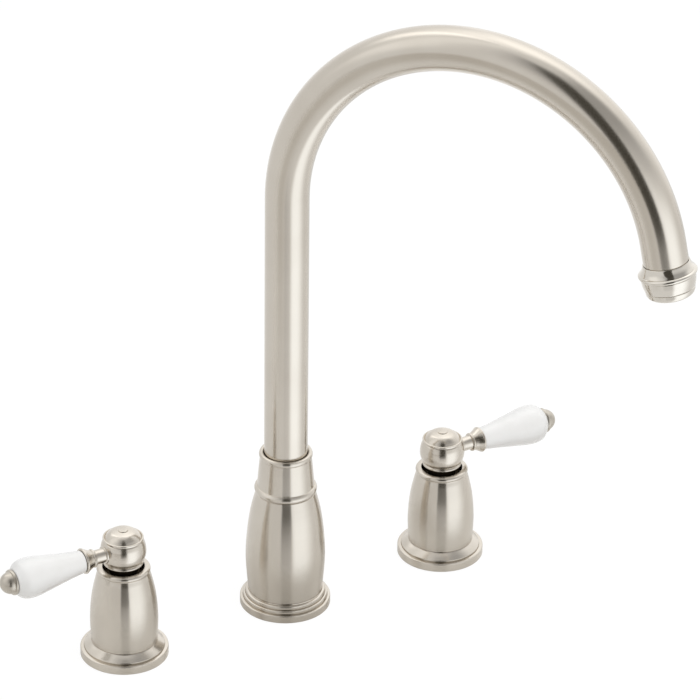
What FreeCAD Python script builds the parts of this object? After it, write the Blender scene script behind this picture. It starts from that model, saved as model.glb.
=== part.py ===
import FreeCAD, Part
import math
import os

# A three-part deck tap: a swivelling swan-neck spout between two quarter-turn lever valves.
# Millimetres, +Z up. The origin is the middle of the spout's foot on the worktop,
# X runs along the row of three and -Y points at the person using it.

Vector = FreeCAD.Vector
UP = Vector(0, 0, 1)

# Layout
valve_spacing = 212.0
spout_angle = -57.3
lever_angle = -1.0
worktop_thickness = 30.0

# Clearances
running_gap = 0.05
thread_gap = 0.05
seat_gap = 0.1
trim_gap = 0.4

# Swan neck
tube_radius = 12.3
tube_wall = 1.5
rise = 257.4
bend_radius = 111.0
bend_angle = 168.5
tail_length = 10.3

# Spout foot
spout_flange_radius = 25.8
spout_flange_rim = 5.0
spout_flange_step = 24.0
spout_flange_step_height = 1.9
spout_flange_land = 22.7
spout_flange_height = 8.5
body_root_radius = 21.1
body_belly_radius = 22.6
body_belly_level = 22.0
body_shoulder_radius = 21.8
body_shoulder_level = 38.0
body_throat_radius = 19.9
body_throat_level = 52.0
body_neck_radius = 17.0
body_height = 64.4
collar_bead_radius = 17.8
collar_bead_height = 4.2
collar_foot_radius = 16.3
collar_waist_radius = 15.3
collar_neck_radius = 14.6
collar_lip_radius = 15.1
collar_lip_height = 3.6
collar_height = 24.6
collar_skirt = 6.0
collar_skirt_wall = 1.4

# Swivel
journal_radius = 10.0
waterway_radius = 6.0
bearing_thickness = 1.5
bearing_depth = 34.0
spigot_plug = 24.0
spigot_foot_gap = 2.0
o_ring_section = 2.4
o_ring_inset = 6.0
grub_radius = 2.5
grub_recess = 2.0
grub_socket_radius = 1.3
grub_socket_depth = 2.5
retaining_groove_depth = 1.4

# Shanks below the worktop
shank_radius = 13.22
shank_bore = 8.0
shank_entry = 16.0
shank_end = 58.0
gasket_thickness = 2.0
gasket_width = 8.8
washer_radius = 24.0
rubber_washer_thickness = 3.0
steel_washer_thickness = 1.5
backnut_flats = 36.0
backnut_height = 9.0
tee_radius = 16.0
tee_top_gap = 2.5
tee_flats = 33.0
tee_flats_height = 8.0
tee_floor = 4.0
tee_chamber = 10.0
port_radius = 8.33
port_bore = 6.0
port_reach = 34.0
port_boss_radius = 10.4
port_boss_reach = 17.0
supply_radius = 10.48
supply_length = 15.0
riser_radius = 5.0
riser_wall = 1.0

# Outlet, measured along the tube from the seam
nozzle_spigot = 8.0
nozzle_wall = 2.0
nozzle_flare_radius = 15.3
nozzle_flare_height = 5.2
nozzle_bead_radius = 16.1
nozzle_bead_height = 3.0
cup_top_radius = 15.0
cup_bottom_radius = 13.9
cup_end = 15.1
cup_bore = 11.45
cup_ledge = 7.5
aerator_rim_radius = 13.4
aerator_rim_height = 4.1
aerator_bore = 9.6
aerator_lip = 0.9
aerator_seal_thickness = 1.0
aerator_grille = 3.0
aerator_hole_radius = 0.8
aerator_ring_pitch = 3.1

# Valve foot and bell
valve_flange_radius = 24.8
valve_flange_rim = 5.0
valve_flange_step = 22.6
valve_flange_step_height = 1.7
valve_flange_height = 8.6
bell_root_radius = 18.6
bell_belly_radius = 19.1
bell_belly_level = 15.0
bell_shoulder_radius = 18.0
bell_shoulder_level = 29.5
bell_throat_radius = 15.5
bell_throat_level = 41.5
bell_neck_radius = 14.4
bell_lip_radius = 14.9
bell_lip_height = 3.0
bell_mouth_radius = 11.8
bell_height = 48.4
bell_wall = 2.1
bell_web_level = 25.0
bell_web_thickness = 4.0

# Valve body and ceramic cartridge
valve_chest_radius = 13.6
valve_chest_height = 35.4
valve_chest_foot = 16.0
valve_chest_foot_height = 2.5
cartridge_radius = 10.4
cartridge_seat = 11.4
cartridge_ledge = 3.0
return_groove_radius = 1.6
cartridge_flats = 21.0
cartridge_head = 6.0
cartridge_neck_radius = 8.0
cartridge_neck_height = 7.0
disc_radius = 8.5
disc_thickness = 2.95
disc_port_inner = 1.8
disc_port_outer = 6.4
disc_port_angle = 78.0
disc_seal_thickness = 2.0
disc_seal_width = 1.5
disc_slot_width = 3.0
disc_slot_depth = 1.4
window_width = 8.0
drive_plate_radius = 8.2
drive_plate_thickness = 2.8
spindle_radius = 5.0
spindle_ring_section = 1.6
serration_count = 20
serration_tip = 4.6
serration_root = 4.1
serration_length = 11.0

# Lever handle, measured upwards from the bell's lip and outwards from the hub's axis
hub_lift = 2.5
hub_foot_radius = 11.4
hub_foot_height = 1.9
hub_root_radius = 11.3
hub_belly_radius = 12.6
hub_belly_level = 7.5
hub_top_radius = 11.7
hub_height = 14.7
hub_cap_rim = 1.0
hub_cap_dome = 3.2
hub_cap_button = 2.75
hub_cap_button_height = 0.35
hub_cap_plug_radius = 6.0
handle_screw_radius = 2.0
handle_screw_head = 3.5
handle_screw_head_height = 2.2
handle_screw_bite = 9.0
lever_level = 7.3
stem_spigot_radius = 3.0
stem_spigot_depth = 4.2
stem_foot = 11.6
stem_foot_radius = 5.0
stem_foot_height = 1.2
stem_neck_radius = 4.1
stem_neck_reach = 18.8
stem_step_radius = 5.2
stem_step_reach = 20.2
stem_cup_radius = 7.3
stem_cup_rim = 1.2
stem_reach = 26.0
grip_end_radius = 6.6
grip_body_radius = 8.9
grip_body_reach = 41.5
grip_swell_radius = 11.1
grip_swell_reach = 59.0
grip_tip_radius = 7.4
grip_length = 42.3
grip_bore = 2.6
grip_washer_thickness = 0.5
finial_radius = 7.3
finial_rim = 1.6
finial_dome_radius = 6.3
finial_dome_share = 0.87
finial_height = 7.6
finial_bite = 3.5
tie_rod_radius = 2.0
tie_rod_bite = 6.0


class Outline:
    # A closed outline of (radius, height) points that is turned about the height axis.

    def __init__(self, radius, height):
        self.first = Vector(radius, 0, height)
        self.here = self.first
        self.edges = []

    def line(self, radius, height):
        there = Vector(radius, 0, height)
        self.edges.append(Part.LineSegment(self.here, there).toShape())
        self.here = there
        return self

    def bulge(self, radius, height, swell):
        # An arc whose middle stands outwards of its chord, or inwards where swell is negative.
        there = Vector(radius, 0, height)
        middle = (self.here + there) * 0.5 + Vector(swell, 0, 0)
        self.edges.append(Part.Arc(self.here, middle, there).toShape())
        self.here = there
        return self

    def through(self, points):
        spline = Part.BSplineCurve()
        spline.interpolate([self.here] + [Vector(radius, 0, height) for radius, height in points])
        self.edges.append(spline.toShape())
        self.here = Vector(points[-1][0], 0, points[-1][1])
        return self

    def turned(self):
        if self.here.distanceToPoint(self.first) > 1e-6:
            self.line(self.first.x, self.first.z)
        face = Part.Face(Part.Wire(self.edges))
        return face.revolve(Vector(0, 0, 0), UP, 360)


def rod(radius, low, high, x=0, y=0):
    return Part.makeCylinder(radius, high - low, Vector(x, y, low))


def ring(inner, outer, low, high):
    return rod(outer, low, high).cut(rod(inner, low, high))


def o_ring(outer, section, level):
    return Part.makeTorus(outer - section / 2, section / 2, Vector(0, 0, level))


def o_ring_groove(outer, section, level):
    floor = outer - section - running_gap
    half = section / 2 + seat_gap
    return ring(floor, outer + section, level - half, level + half)


def prism(corners, low, high):
    outline = Part.makePolygon([Vector(x, y, low) for x, y in corners + corners[:1]])
    return Part.Face(outline).extrude(Vector(0, 0, high - low))


def around(radius, angle):
    turn = math.radians(angle)
    return radius * math.cos(turn), radius * math.sin(turn)


def hexagon(flats, low, high):
    corner = flats / 2 / math.cos(math.radians(30))
    return prism([around(corner, 60 * side) for side in range(6)], low, high)


def serrated(gap, low, high):
    # The fine saw-tooth spline that carries the handle, enlarged all round by a gap.
    step = 360 / serration_count
    corners = []
    for tooth in range(serration_count):
        corners.append(around(serration_tip + gap, tooth * step))
        corners.append(around(serration_root + gap, (tooth + 0.5) * step))
    return prism(corners, low, high)


def sector_ports(low, high, start):
    # Two opposite waterways shaped as sectors of a ring.
    ports = []
    for side in (0, 180):
        block = Part.makeCylinder(disc_port_outer, high - low, Vector(0, 0, low), UP, disc_port_angle)
        block = block.cut(rod(disc_port_inner, low, high))
        block.rotate(Vector(0, 0, 0), UP, start + side - disc_port_angle / 2)
        ports.append(block)
    return ports[0].fuse(ports[1])


def along(shape, place, direction):
    # Carries a piece that was turned about Z to an axis of another direction.
    moved = shape.copy()
    moved.Placement = FreeCAD.Placement(place, FreeCAD.Rotation(UP, direction))
    return moved


def at_side(shape, side):
    moved = shape.copy()
    moved.translate(Vector(side * valve_spacing / 2, 0, 0))
    return moved


# Swan neck and outlet

bore_radius = tube_radius - tube_wall
body_top = spout_flange_height + body_height
bearing_level = spout_flange_height + shank_entry + bearing_depth
tube_foot = bearing_level + bearing_thickness
spout_facing = Vector(*around(1, spout_angle), 0)
bend = math.radians(bend_angle)
arch_middle = spout_facing * bend_radius + UP * rise
tail_facing = spout_facing * math.sin(bend) + UP * math.cos(bend)


def on_arch(angle):
    return arch_middle + (UP * math.sin(angle) - spout_facing * math.cos(angle)) * bend_radius


outlet_place = on_arch(bend) + tail_facing * tail_length


def swept(radius):
    foot = Vector(0, 0, tube_foot)
    path = Part.Wire([
        Part.LineSegment(foot, on_arch(0)).toShape(),
        Part.Arc(on_arch(0), on_arch(bend / 2), on_arch(bend)).toShape(),
        Part.LineSegment(on_arch(bend), outlet_place).toShape(),
    ])
    section = Part.Wire(Part.makeCircle(radius, foot, UP))
    return path.makePipeShell([section], True, False)


def spout_tube():
    return swept(tube_radius).cut(swept(bore_radius))


def outlet_nozzle():
    inner = bore_radius - nozzle_wall
    bead_end = nozzle_flare_height + nozzle_bead_height
    shape = Outline(inner, -nozzle_spigot)
    shape.line(bore_radius - running_gap, -nozzle_spigot)
    shape.line(bore_radius - running_gap, 0)
    shape.line(tube_radius + running_gap, 0)
    shape.bulge(nozzle_flare_radius, nozzle_flare_height, -0.25 * (nozzle_flare_radius - tube_radius))
    shape.bulge(nozzle_flare_radius, bead_end, nozzle_bead_radius - nozzle_flare_radius)
    shape.line(cup_top_radius, bead_end)
    shape.line(cup_bottom_radius, cup_end)
    shape.line(cup_bore, cup_end)
    shape.line(cup_bore, cup_ledge)
    shape.line(inner, cup_ledge)
    return along(shape.turned(), outlet_place, tail_facing)


shell_top = cup_ledge + aerator_seal_thickness + seat_gap
rim_top = cup_end + seat_gap
rim_end = rim_top + aerator_rim_height


def aerator_shell():
    groove = rim_top + aerator_rim_height / 2
    shape = Outline(aerator_bore, shell_top)
    shape.line(cup_bore - thread_gap, shell_top)
    shape.line(cup_bore - thread_gap, rim_top)
    shape.line(aerator_rim_radius, rim_top)
    shape.line(aerator_rim_radius, groove)
    shape.bulge(aerator_rim_radius, groove + aerator_lip / 2, -aerator_lip / 3)
    shape.line(aerator_rim_radius, rim_end - aerator_lip)
    shape.bulge(aerator_rim_radius - aerator_lip, rim_end, aerator_lip / 5)
    shape.line(aerator_bore - aerator_lip, rim_end)
    shape.line(aerator_bore - aerator_lip, rim_end - aerator_lip)
    shape.line(aerator_bore, rim_end - aerator_lip)
    return along(shape.turned(), outlet_place, tail_facing)


def aerator_insert():
    low = shell_top
    high = rim_end - aerator_lip
    outer = aerator_bore - seat_gap
    floor = high - aerator_grille
    shape = rod(outer, low, high).cut(rod(outer - tube_wall, low, floor))
    holes = [rod(aerator_hole_radius, floor, high)]
    for circle in (1, 2):
        for hole in range(6 * circle):
            x, y = around(aerator_ring_pitch * circle, 60 / circle * hole)
            holes.append(rod(aerator_hole_radius, floor, high, x, y))
    return along(shape.cut(Part.makeCompound(holes)), outlet_place, tail_facing)


def aerator_seal():
    inner = bore_radius - nozzle_wall
    shape = ring(inner, cup_bore - seat_gap, cup_ledge, cup_ledge + aerator_seal_thickness)
    return along(shape, outlet_place, tail_facing)


# Spout foot and swivel

grub_level = bearing_level - bearing_depth / 2
ring_levels = (bearing_level - bearing_depth + o_ring_inset, bearing_level - o_ring_inset)
spigot_foot = spout_flange_height + shank_entry + spigot_foot_gap


def spout_spigot():
    shape = Outline(waterway_radius, spigot_foot)
    shape.line(journal_radius, spigot_foot)
    shape.line(journal_radius, tube_foot)
    shape.line(bore_radius - running_gap, tube_foot)
    shape.line(bore_radius - running_gap, tube_foot + spigot_plug)
    shape.line(waterway_radius, tube_foot + spigot_plug)
    spigot = shape.turned()
    for level in ring_levels:
        spigot = spigot.cut(o_ring_groove(journal_radius, o_ring_section, level))
    half = grub_radius + seat_gap * 3
    floor = journal_radius - retaining_groove_depth
    return spigot.cut(ring(floor, journal_radius * 2, grub_level - half, grub_level + half))


def spout_o_rings():
    return Part.makeCompound([o_ring(journal_radius, o_ring_section, level) for level in ring_levels])


def bearing_washer():
    inner = journal_radius + trim_gap
    return ring(inner, tube_radius + seat_gap, bearing_level, tube_foot)


def grub_screw():
    tip = journal_radius - retaining_groove_depth / 2
    head = body_belly_radius - grub_recess
    screw = rod(grub_radius, tip, head)
    screw = screw.cut(rod(grub_socket_radius, head - grub_socket_depth, head))
    return along(screw, Vector(0, 0, grub_level), Vector(0, 1, 0))


def spout_body():
    foot = spout_flange_height
    tube_bore = tube_radius + trim_gap
    skirt_bore = tube_bore + collar_skirt_wall + thread_gap
    shape = Outline(shank_radius + thread_gap, foot)
    shape.line(body_root_radius, foot)
    shape.through([
        (body_belly_radius, foot + body_belly_level),
        (body_shoulder_radius, foot + body_shoulder_level),
        (body_throat_radius, foot + body_throat_level),
        (body_neck_radius, body_top),
    ])
    shape.line(skirt_bore, body_top)
    shape.line(skirt_bore, body_top - collar_skirt)
    shape.line(tube_bore, body_top - collar_skirt)
    shape.line(tube_bore, bearing_level)
    shape.line(journal_radius + running_gap, bearing_level)
    shape.line(journal_radius + running_gap, foot + shank_entry)
    shape.line(shank_radius + thread_gap, foot + shank_entry)
    hole = rod(grub_radius + thread_gap, journal_radius / 2, body_belly_radius * 2)
    return shape.turned().cut(along(hole, Vector(0, 0, grub_level), Vector(0, 1, 0)))


def spout_collar():
    inner = tube_radius + trim_gap
    top = body_top + collar_height
    bead_top = body_top + collar_bead_height
    lip_foot = top - collar_lip_height
    waist = lip_foot - (lip_foot - bead_top) / 3
    shape = Outline(inner, body_top - collar_skirt)
    shape.line(inner + collar_skirt_wall, body_top - collar_skirt)
    shape.line(inner + collar_skirt_wall, body_top)
    shape.line(body_neck_radius, body_top)
    shape.bulge(body_neck_radius, bead_top, collar_bead_radius - body_neck_radius)
    shape.line(collar_foot_radius, bead_top)
    shape.through([(collar_waist_radius, waist), (collar_neck_radius, lip_foot)])
    shape.bulge(collar_neck_radius, top, collar_lip_radius - collar_neck_radius)
    shape.line(inner, top)
    return shape.turned()


def spout_base_flange():
    step_round = spout_flange_radius - spout_flange_step
    shape = Outline(shank_radius + trim_gap, gasket_thickness)
    shape.line(shank_radius + trim_gap + gasket_width + seat_gap, gasket_thickness)
    shape.line(shank_radius + trim_gap + gasket_width + seat_gap, 0)
    shape.line(spout_flange_radius, 0)
    shape.line(spout_flange_radius, spout_flange_rim - step_round / 3)
    shape.bulge(spout_flange_radius - step_round / 3, spout_flange_rim, step_round / 12)
    step_top = spout_flange_rim + spout_flange_step_height
    shape.line(spout_flange_step, spout_flange_rim)
    shape.bulge(spout_flange_step - step_round / 4, step_top, step_round / 8)
    shape.line(spout_flange_land, step_top)
    shape.bulge(body_root_radius, spout_flange_height, step_round / 8)
    shape.line(shank_radius + trim_gap, spout_flange_height)
    return shape.turned()


# Parts below the worktop

nut_top = -worktop_thickness - rubber_washer_thickness - steel_washer_thickness
tee_top = nut_top - backnut_height - tee_top_gap
port_level = -shank_end - tee_chamber / 2 - port_bore / 2
tee_bottom = -shank_end - tee_chamber - port_bore - tee_floor


def base_gasket():
    inner = shank_radius + trim_gap
    return ring(inner, inner + gasket_width, 0, gasket_thickness)


def shank_washer(top, thickness):
    return ring(shank_radius + trim_gap, washer_radius, top - thickness, top)


def rubber_washer():
    return shank_washer(-worktop_thickness, rubber_washer_thickness)


def steel_washer():
    return shank_washer(-worktop_thickness - rubber_washer_thickness, steel_washer_thickness)


def backnut():
    nut = hexagon(backnut_flats, nut_top - backnut_height, nut_top)
    return nut.cut(rod(shank_radius + thread_gap, nut_top - backnut_height, nut_top))


def spout_shank():
    top = spout_flange_height + shank_entry - seat_gap
    return ring(shank_bore, shank_radius, -shank_end, top)


def tee(port_sides):
    # The fitting on a shank's end, with a threaded side port for each pipe.
    shape = rod(tee_radius, tee_bottom, tee_top)
    shape = shape.fuse(hexagon(tee_flats, tee_top - tee_flats_height, tee_top))
    for side in port_sides:
        stub = rod(port_radius, 0, port_reach).fuse(rod(port_boss_radius, 0, port_boss_reach))
        shape = shape.fuse(along(stub, Vector(0, 0, port_level), Vector(side, 0, 0)))
    shape = shape.cut(rod(shank_radius + thread_gap, -shank_end - seat_gap, tee_top))
    shape = shape.cut(rod(shank_bore, tee_bottom + tee_floor, -shank_end))
    for side in port_sides:
        way = along(rod(port_bore, 0, port_reach), Vector(0, 0, port_level), Vector(side, 0, 0))
        shape = shape.cut(way)
    return shape.removeSplitter()


def valve_tail(side):
    spigot_end = tee_bottom - supply_length
    shape = tee([-side]).fuse(rod(supply_radius, spigot_end, tee_bottom))
    shape = shape.cut(rod(riser_radius + running_gap, spigot_end, tee_bottom + tee_floor))
    return shape.removeSplitter()


# Valve foot, bell and cartridge

chest_foot = valve_flange_height
chest_top = chest_foot + valve_chest_height
seat_level = chest_foot + cartridge_seat
seal_top = seat_level + disc_seal_thickness
fixed_disc_top = seal_top + disc_thickness
moving_disc_foot = fixed_disc_top + running_gap
moving_disc_top = moving_disc_foot + disc_thickness
drive_plate_top = moving_disc_top + drive_plate_thickness
cartridge_top = chest_top + cartridge_head + cartridge_neck_height
bell_top = valve_flange_height + bell_height
hub_foot = bell_top + hub_lift
hub_top = hub_foot + hub_height
serration_foot = hub_foot - seat_gap
serration_top = serration_foot + serration_length
spindle_ring_levels = (
    drive_plate_top + (cartridge_top - drive_plate_top) / 4,
    drive_plate_top + (cartridge_top - drive_plate_top) / 2,
)


def valve_base_flange():
    step_round = valve_flange_radius - valve_flange_step
    step_top = valve_flange_rim + valve_flange_step_height
    shape = Outline(shank_radius + trim_gap, gasket_thickness)
    shape.line(shank_radius + trim_gap + gasket_width + seat_gap, gasket_thickness)
    shape.line(shank_radius + trim_gap + gasket_width + seat_gap, 0)
    shape.line(valve_flange_radius, 0)
    shape.line(valve_flange_radius, valve_flange_rim - step_round / 3)
    shape.bulge(valve_flange_radius - step_round / 3, valve_flange_rim, step_round / 12)
    shape.line(valve_flange_step, valve_flange_rim)
    shape.bulge(valve_flange_step - step_round / 4, step_top, step_round / 8)
    shape.bulge(bell_root_radius, valve_flange_height, -step_round / 6)
    shape.line(shank_radius + trim_gap, valve_flange_height)
    return shape.turned()


def valve_bell():
    foot = valve_flange_height
    web_foot = foot + bell_web_level
    web_top = web_foot + bell_web_thickness
    lip_foot = bell_top - bell_lip_height
    web_bore = valve_chest_radius + thread_gap
    shape = Outline(bell_root_radius - bell_wall, foot)
    shape.line(bell_root_radius, foot)
    shape.through([
        (bell_belly_radius, foot + bell_belly_level),
        (bell_shoulder_radius, foot + bell_shoulder_level),
        (bell_throat_radius, foot + bell_throat_level),
        (bell_neck_radius, lip_foot),
    ])
    shape.bulge(bell_lip_radius - bell_wall / 2, bell_top, bell_lip_radius - bell_neck_radius)
    shape.line(bell_mouth_radius, bell_top)
    shape.line(bell_mouth_radius, bell_top - bell_wall / 2)
    shape.line(bell_neck_radius - bell_wall, lip_foot)
    shape.line(bell_throat_radius - bell_wall, foot + bell_throat_level)
    shape.line(bell_shoulder_radius - bell_wall, web_top)
    shape.line(web_bore, web_top)
    shape.line(web_bore, web_foot)
    shape.line(bell_root_radius - bell_wall, web_foot)
    return shape.turned()


def valve_body():
    seat_bore = cartridge_radius + thread_gap
    shape = Outline(shank_bore, -shank_end)
    shape.line(shank_radius, -shank_end)
    shape.line(shank_radius, chest_foot)
    shape.line(valve_chest_foot, chest_foot)
    shape.line(valve_chest_foot, chest_foot + valve_chest_foot_height)
    shape.line(valve_chest_radius, chest_foot + valve_chest_foot_height)
    shape.line(valve_chest_radius, chest_top)
    shape.line(seat_bore, chest_top)
    shape.line(seat_bore, seat_level)
    shape.line(riser_radius + running_gap, seat_level)
    shape.line(riser_radius + running_gap, seat_level - cartridge_ledge)
    shape.line(seat_bore, seat_level - cartridge_ledge)
    shape.line(seat_bore, chest_foot)
    shape.line(shank_bore, chest_foot)
    body = shape.turned()
    grooves = []
    for quarter in range(4):
        x, y = around(cartridge_radius, 90 * quarter)
        grooves.append(rod(return_groove_radius, chest_foot, drive_plate_top, x, y))
    return body.cut(Part.makeCompound(grooves))


def riser_tube():
    return ring(riser_radius - riser_wall, riser_radius, tee_bottom - supply_length, seat_level)


def cartridge_body():
    cavity = disc_radius + seat_gap
    head_top = chest_top + cartridge_head
    shape = Outline(cavity, seat_level)
    shape.line(cartridge_radius, seat_level)
    shape.line(cartridge_radius, chest_top)
    shape.line(cartridge_neck_radius, chest_top)
    shape.line(cartridge_neck_radius, cartridge_top)
    shape.line(spindle_radius + running_gap, cartridge_top)
    shape.line(spindle_radius + running_gap, drive_plate_top + seat_gap)
    shape.line(cavity, drive_plate_top + seat_gap)
    head = hexagon(cartridge_flats, chest_top, head_top)
    head = head.cut(rod(spindle_radius + running_gap, chest_top, head_top))
    body = shape.turned().fuse(head)
    reach = cartridge_radius * 2
    window = Part.makeBox(
        reach * 2, window_width, drive_plate_thickness, Vector(-reach, -window_width / 2, moving_disc_top)
    )
    window = window.cut(rod(cavity, moving_disc_top, drive_plate_top))
    window = window.fuse(window.rotated(Vector(0, 0, 0), UP, 90))
    return body.cut(window).removeSplitter()


def cartridge_seal():
    return ring(disc_radius - disc_seal_width, disc_radius, seat_level, seal_top)


def fixed_disc():
    disc = rod(disc_radius, seal_top, fixed_disc_top)
    return disc.cut(sector_ports(seal_top, fixed_disc_top, 0))


def disc_slot(gap):
    # The straight key that drives the upper disc, narrowed all round by a gap.
    width = disc_slot_width - 2 * gap
    length = drive_plate_radius * 2
    low = moving_disc_top - disc_slot_depth + gap
    key = Part.makeBox(length, width, moving_disc_top - low, Vector(-length / 2, -width / 2, low))
    return key.common(rod(drive_plate_radius, low, moving_disc_top))


def moving_disc():
    disc = rod(disc_radius, moving_disc_foot, moving_disc_top)
    disc = disc.cut(sector_ports(moving_disc_foot, moving_disc_top, 90))
    return disc.cut(disc_slot(0))


def spindle():
    shape = rod(drive_plate_radius, moving_disc_top, drive_plate_top)
    shape = shape.cut(sector_ports(moving_disc_top, drive_plate_top, 90))
    shape = shape.fuse(disc_slot(running_gap).cut(sector_ports(seal_top, moving_disc_top, 90)))
    shape = shape.fuse(rod(spindle_radius, drive_plate_top, serration_foot))
    shape = shape.fuse(serrated(0, serration_foot, serration_top))
    for level in spindle_ring_levels:
        shape = shape.cut(o_ring_groove(spindle_radius, spindle_ring_section, level))
    bite = rod(handle_screw_radius + thread_gap, serration_top - handle_screw_bite, serration_top)
    return shape.cut(bite).removeSplitter()


def spindle_o_rings():
    rings = [o_ring(spindle_radius, spindle_ring_section, level) for level in spindle_ring_levels]
    return Part.makeCompound(rings)


# Lever handle

lever_height = hub_foot + lever_level
grip_foot = stem_reach + grip_washer_thickness
grip_end = grip_foot + grip_length
finial_foot = grip_end + grip_washer_thickness
screw_seat = serration_top + seat_gap * 2
cap_foot = hub_top + seat_gap
cap_rim_top = cap_foot + hub_cap_rim


def lever_facing(side):
    x, y = around(1, lever_angle)
    return Vector(side * x, side * y, 0)


def on_lever(shape, side):
    return along(shape, Vector(0, 0, lever_height), lever_facing(side))


def handle_hub(side):
    shape = Outline(0, hub_foot)
    shape.line(hub_foot_radius - hub_foot_height / 3, hub_foot)
    shape.bulge(hub_foot_radius - hub_foot_height / 3, hub_foot + hub_foot_height, hub_foot_height / 3)
    shape.line(hub_root_radius, hub_foot + hub_foot_height)
    shape.through([
        (hub_belly_radius, hub_foot + hub_belly_level),
        (hub_top_radius, hub_top),
    ])
    shape.line(0, hub_top)
    hub = shape.turned()
    hub = hub.cut(serrated(running_gap, hub_foot, screw_seat))
    hub = hub.cut(rod(hub_cap_plug_radius + seat_gap, screw_seat, hub_top))
    socket = rod(stem_spigot_radius + thread_gap, stem_foot - stem_spigot_depth - seat_gap, stem_foot)
    socket = socket.fuse(rod(stem_foot_radius + seat_gap, stem_foot, hub_belly_radius * 2))
    return hub.cut(on_lever(socket, side))


def hub_cap():
    plug_foot = screw_seat + handle_screw_head_height + seat_gap
    top = cap_rim_top + hub_cap_dome
    shape = Outline(0, plug_foot)
    shape.line(hub_cap_plug_radius, plug_foot)
    shape.line(hub_cap_plug_radius, cap_foot)
    shape.line(hub_top_radius, cap_foot)
    shape.line(hub_top_radius, cap_rim_top)
    shape.through([
        ((hub_top_radius + hub_cap_button) / 2, cap_rim_top + hub_cap_dome * 0.75),
        (hub_cap_button, top),
    ])
    shape.line(hub_cap_button, top + hub_cap_button_height)
    shape.line(0, top + hub_cap_button_height)
    return shape.turned()


def handle_screw():
    shank = rod(handle_screw_radius, serration_top - handle_screw_bite + seat_gap, screw_seat)
    head = rod(handle_screw_head, screw_seat, screw_seat + handle_screw_head_height)
    return shank.fuse(head).removeSplitter()


def lever_stem(side):
    shape = Outline(0, stem_foot - stem_spigot_depth)
    shape.line(stem_spigot_radius, stem_foot - stem_spigot_depth)
    shape.line(stem_spigot_radius, stem_foot)
    shape.line(stem_foot_radius, stem_foot)
    shape.line(stem_foot_radius, stem_foot + stem_foot_height)
    shape.line(stem_neck_radius, stem_foot + stem_foot_height)
    shape.line(stem_neck_radius, stem_neck_reach)
    shape.line(stem_step_radius, stem_neck_reach)
    shape.line(stem_step_radius, stem_step_reach)
    shape.bulge(stem_cup_radius, stem_reach - stem_cup_rim, -0.2 * (stem_cup_radius - stem_step_radius))
    shape.line(stem_cup_radius, stem_reach)
    shape.line(0, stem_reach)
    stem = shape.turned()
    bite = rod(tie_rod_radius + thread_gap, stem_reach - tie_rod_bite - seat_gap, stem_reach)
    return on_lever(stem.cut(bite), side)


def tie_rod(side):
    return on_lever(rod(tie_rod_radius, stem_reach - tie_rod_bite, finial_foot + finial_bite), side)


def grip(side):
    shape = Outline(grip_bore, grip_foot)
    shape.line(grip_end_radius, grip_foot)
    shape.through([
        (grip_body_radius, grip_body_reach),
        (grip_swell_radius, grip_swell_reach),
        (grip_tip_radius, grip_end),
    ])
    shape.line(grip_bore, grip_end)
    return on_lever(shape.turned(), side)


def grip_washers(side):
    pair = [
        ring(grip_bore, grip_end_radius - seat_gap, stem_reach, grip_foot),
        ring(grip_bore, grip_tip_radius - seat_gap, grip_end, finial_foot),
    ]
    return on_lever(Part.makeCompound(pair), side)


def finial(side):
    tip = finial_foot + finial_height
    rim = finial_foot + finial_rim
    shape = Outline(0, finial_foot)
    shape.line(finial_radius - finial_rim / 4, finial_foot)
    shape.bulge(finial_radius - finial_rim / 4, rim, finial_rim / 4)
    shape.line(finial_dome_radius, rim)
    shape.through([(finial_dome_radius * finial_dome_share, (rim + tip) / 2), (0, tip)])
    bite = rod(tie_rod_radius + thread_gap, finial_foot, finial_foot + finial_bite + seat_gap)
    return on_lever(shape.turned().cut(bite), side)


def both(shape):
    return Part.makeCompound([at_side(shape, side) for side in (-1, 1)])


nodes = {
    "spout_tube": spout_tube(),
    "spout_spigot": spout_spigot(),
    "spout_o_rings": spout_o_rings(),
    "spout_bearing_washer": bearing_washer(),
    "spout_grub_screw": grub_screw(),
    "spout_body": spout_body(),
    "spout_collar": spout_collar(),
    "spout_base_flange": spout_base_flange(),
    "spout_shank": spout_shank(),
    "spout_rubber_washer": rubber_washer(),
    "spout_steel_washer": steel_washer(),
    "spout_backnut": backnut(),
    "spout_tee": tee((-1, 1)),
    "outlet_nozzle": outlet_nozzle(),
    "aerator_shell": aerator_shell(),
    "aerator_insert": aerator_insert(),
    "aerator_seal": aerator_seal(),
    "base_gaskets": Part.makeCompound([base_gasket(), both(base_gasket())]),
    "valve_rubber_washers": both(rubber_washer()),
    "valve_steel_washers": both(steel_washer()),
    "valve_backnuts": both(backnut()),
}

for hand, side in (("left", -1), ("right", 1)):
    pieces = {
        "base_flange": valve_base_flange(),
        "bell": valve_bell(),
        "valve_body": valve_body(),
        "riser_tube": riser_tube(),
        "tail": valve_tail(side),
        "cartridge_body": cartridge_body(),
        "cartridge_seal": cartridge_seal(),
        "fixed_disc": fixed_disc(),
        "moving_disc": moving_disc(),
        "spindle": spindle(),
        "spindle_o_rings": spindle_o_rings(),
        "handle_hub": handle_hub(side),
        "hub_cap": hub_cap(),
        "handle_screw": handle_screw(),
        "lever_stem": lever_stem(side),
        "tie_rod": tie_rod(side),
        "grip": grip(side),
        "grip_washers": grip_washers(side),
        "finial": finial(side),
    }
    for name, shape in pieces.items():
        nodes[hand + "_" + name] = at_side(shape, side)

os.makedirs("parts", exist_ok=True)
for name, shape in nodes.items():
    shape.exportStep("parts/" + name + ".step")
print(len(nodes), "pieces written")
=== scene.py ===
import math

import bpy
from mathutils import Matrix, Vector


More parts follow.
